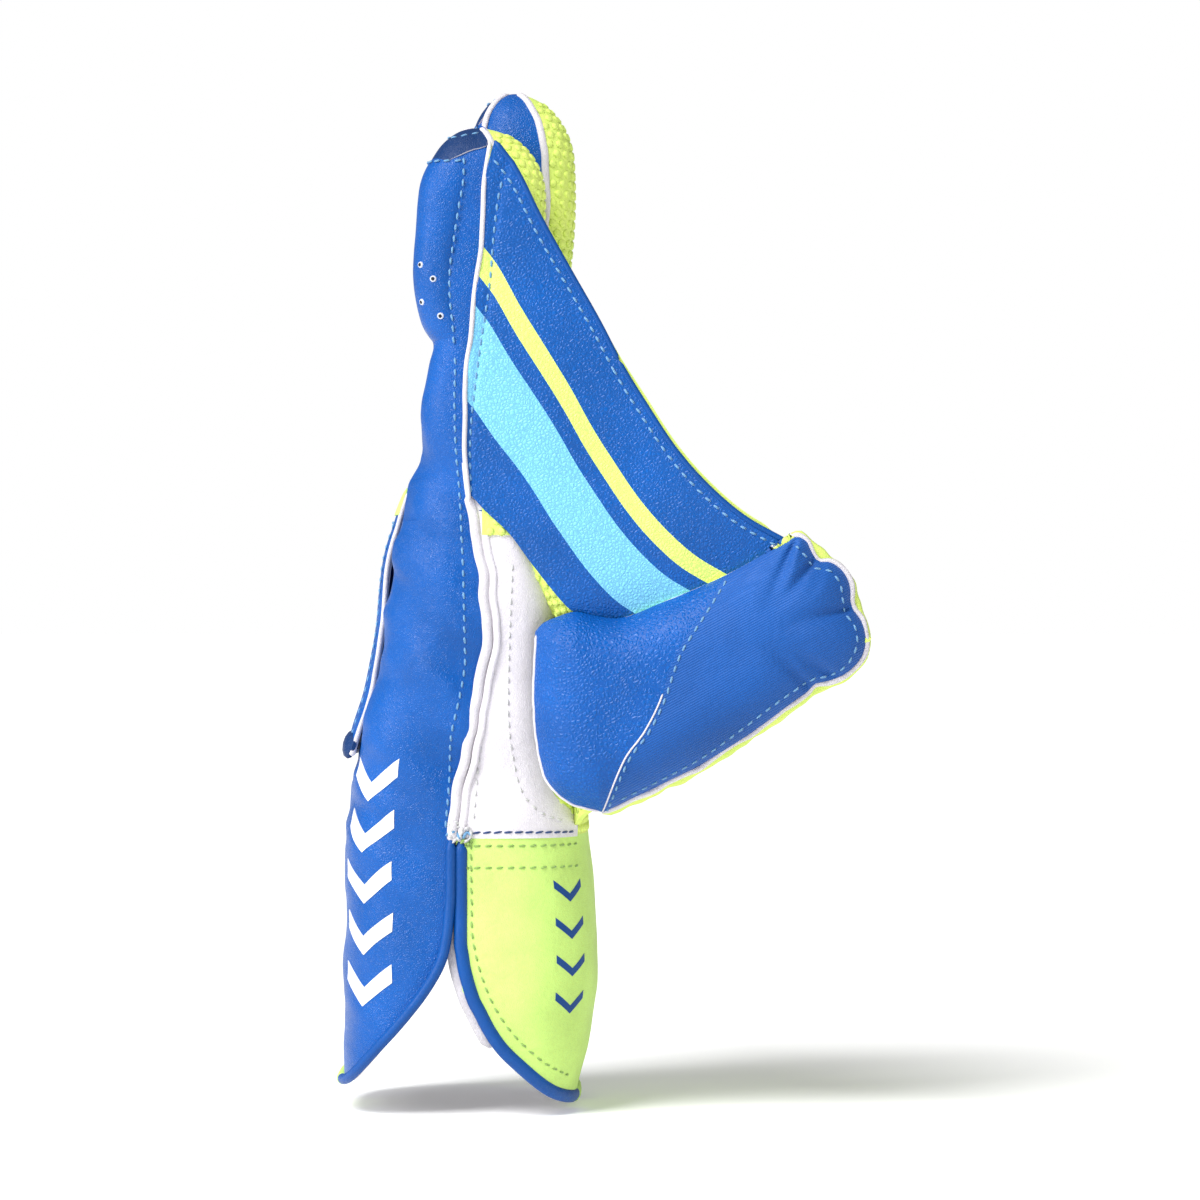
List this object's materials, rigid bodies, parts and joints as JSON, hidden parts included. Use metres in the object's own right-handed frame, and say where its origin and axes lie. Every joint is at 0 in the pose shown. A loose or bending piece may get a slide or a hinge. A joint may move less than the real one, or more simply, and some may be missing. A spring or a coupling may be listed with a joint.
{
  "type": "wicket-keeping glove",
  "caption": "Left-hand padded catching glove with finger stalls, a pimpled rubber palm, a web from index finger to thumb and a split gauntlet cuff.",
  "frame": {"origin": "centre of the wrist opening, where the hand goes in", "axes": "+Z from the wrist to the fingertips, +X out of the palm, -Y on the thumb side (left hand)"},
  "size_m": [0.1699, 0.1277, 0.33],
  "materials": {
    "blue_leather": "soft grained leather, satin",
    "blue_ribbed_cloth": "fine diagonal rib, matt",
    "blue_piping": "smooth folded binding",
    "web_leather": "pebble grain with printed stripes",
    "lime_rubber": "pimpled rubber, matt",
    "lime_leather": "fine grained, matt",
    "white_leather": "soft matt leather",
    "padding": "foam and cotton layers",
    "towelling": "looped cotton",
    "elastic": "woven elastic",
    "moulded_guard": "moulded, matt",
    "lime_tape": "woven tape"
  },
  "bodies": {
    "hand": {"back_leather": "blue_leather", "back_padding": "padding", "palm_rubber": "lime_rubber", "palm_padding": "padding", "hand_lining": "towelling", "thumb_gusset": "white_leather", "side_gusset": "white_leather", "wrist_elastic": "elastic"},
    "thumb": {"thumb_base_panel": "blue_leather", "thumb_tip_panel": "blue_ribbed_cloth", "thumb_face": "lime_rubber", "thumb_lining": "towelling", "thumb_cup": "moulded_guard", "thumb_web_rubber": "lime_rubber", "thumb_web_leather": "web_leather", "thumb_web_binding": "blue_piping"},
    "cuff_back": {"cuff_back_panel": "blue_leather", "cuff_back_padding": "padding", "cuff_back_lining": "towelling", "cuff_back_piping": "blue_piping", "cuff_back_tag": "lime_tape"},
    "cuff_palm": {"cuff_palm_panel": "lime_leather", "cuff_palm_padding": "padding", "cuff_palm_lining": "towelling", "cuff_palm_piping": "blue_piping", "cuff_palm_tag": "lime_tape"},
    "back_guard": {"guard_cover": "blue_leather", "guard_foam": "padding"},
    "index_finger": {"index_back": "blue_leather", "index_sides": "blue_leather", "index_face": "lime_rubber", "index_lining": "towelling", "index_roll": "blue_leather", "index_cup": "moulded_guard", "index_web_rubber": "lime_rubber", "index_web_leather": "web_leather", "index_web_binding": "blue_piping", "index_web_welt": "blue_piping"},
    "middle_finger": {"middle_back": "blue_leather", "middle_sides": "blue_leather", "middle_face": "lime_rubber", "middle_lining": "towelling", "middle_roll": "blue_leather", "middle_cup": "moulded_guard"},
    "ring_finger": {"ring_back": "blue_leather", "ring_sides": "blue_leather", "ring_face": "lime_rubber", "ring_lining": "towelling", "ring_roll": "blue_leather", "ring_cup": "moulded_guard"},
    "little_finger": {"little_back": "blue_leather", "little_sides": "blue_leather", "little_face": "lime_rubber", "little_lining": "towelling", "little_roll": "blue_leather", "little_cup": "moulded_guard"}
  },
  "joints": [
    {"name": "thumb_close", "type": "hinge", "parent": "hand", "child": "thumb", "pos_m": [0.05, -0.057, 0.039], "axis": [0, -1, 0], "range_deg": [-10, 25], "stiffness_Nm_per_rad": 2},
    {"name": "index_flex", "type": "hinge", "parent": "hand", "child": "index_finger", "pos_m": [0.011, -0.04125, 0.132], "axis": [0, 1, 0], "range_deg": [0, 20], "stiffness_Nm_per_rad": 0.6},
    {"name": "middle_flex", "type": "hinge", "parent": "hand", "child": "middle_finger", "pos_m": [0.011, -0.01375, 0.132], "axis": [0, 1, 0], "range_deg": [0, 35], "stiffness_Nm_per_rad": 0.4},
    {"name": "ring_flex", "type": "hinge", "parent": "hand", "child": "ring_finger", "pos_m": [0.011, 0.01375, 0.132], "axis": [0, 1, 0], "range_deg": [0, 35], "stiffness_Nm_per_rad": 0.4},
    {"name": "little_flex", "type": "hinge", "parent": "hand", "child": "little_finger", "pos_m": [0.011, 0.04125, 0.132], "axis": [0, 1, 0], "range_deg": [0, 35], "stiffness_Nm_per_rad": 0.4},
    {"name": "cuff_back_open", "type": "hinge", "parent": "hand", "child": "cuff_back", "pos_m": [-0.038, 0, 0], "axis": [0, 1, 0], "range_deg": [0, 20], "stiffness_Nm_per_rad": 0.8},
    {"name": "cuff_palm_open", "type": "hinge", "parent": "hand", "child": "cuff_palm", "pos_m": [0.036, 0, 0], "axis": [0, -1, 0], "range_deg": [0, 20], "stiffness_Nm_per_rad": 0.8},
    {"name": "guard_lift", "type": "hinge", "parent": "hand", "child": "back_guard", "pos_m": [-0.018, 0, 0.112], "axis": [0, 1, 0], "range_deg": [0, 25], "stiffness_Nm_per_rad": 0.05}
  ]
}
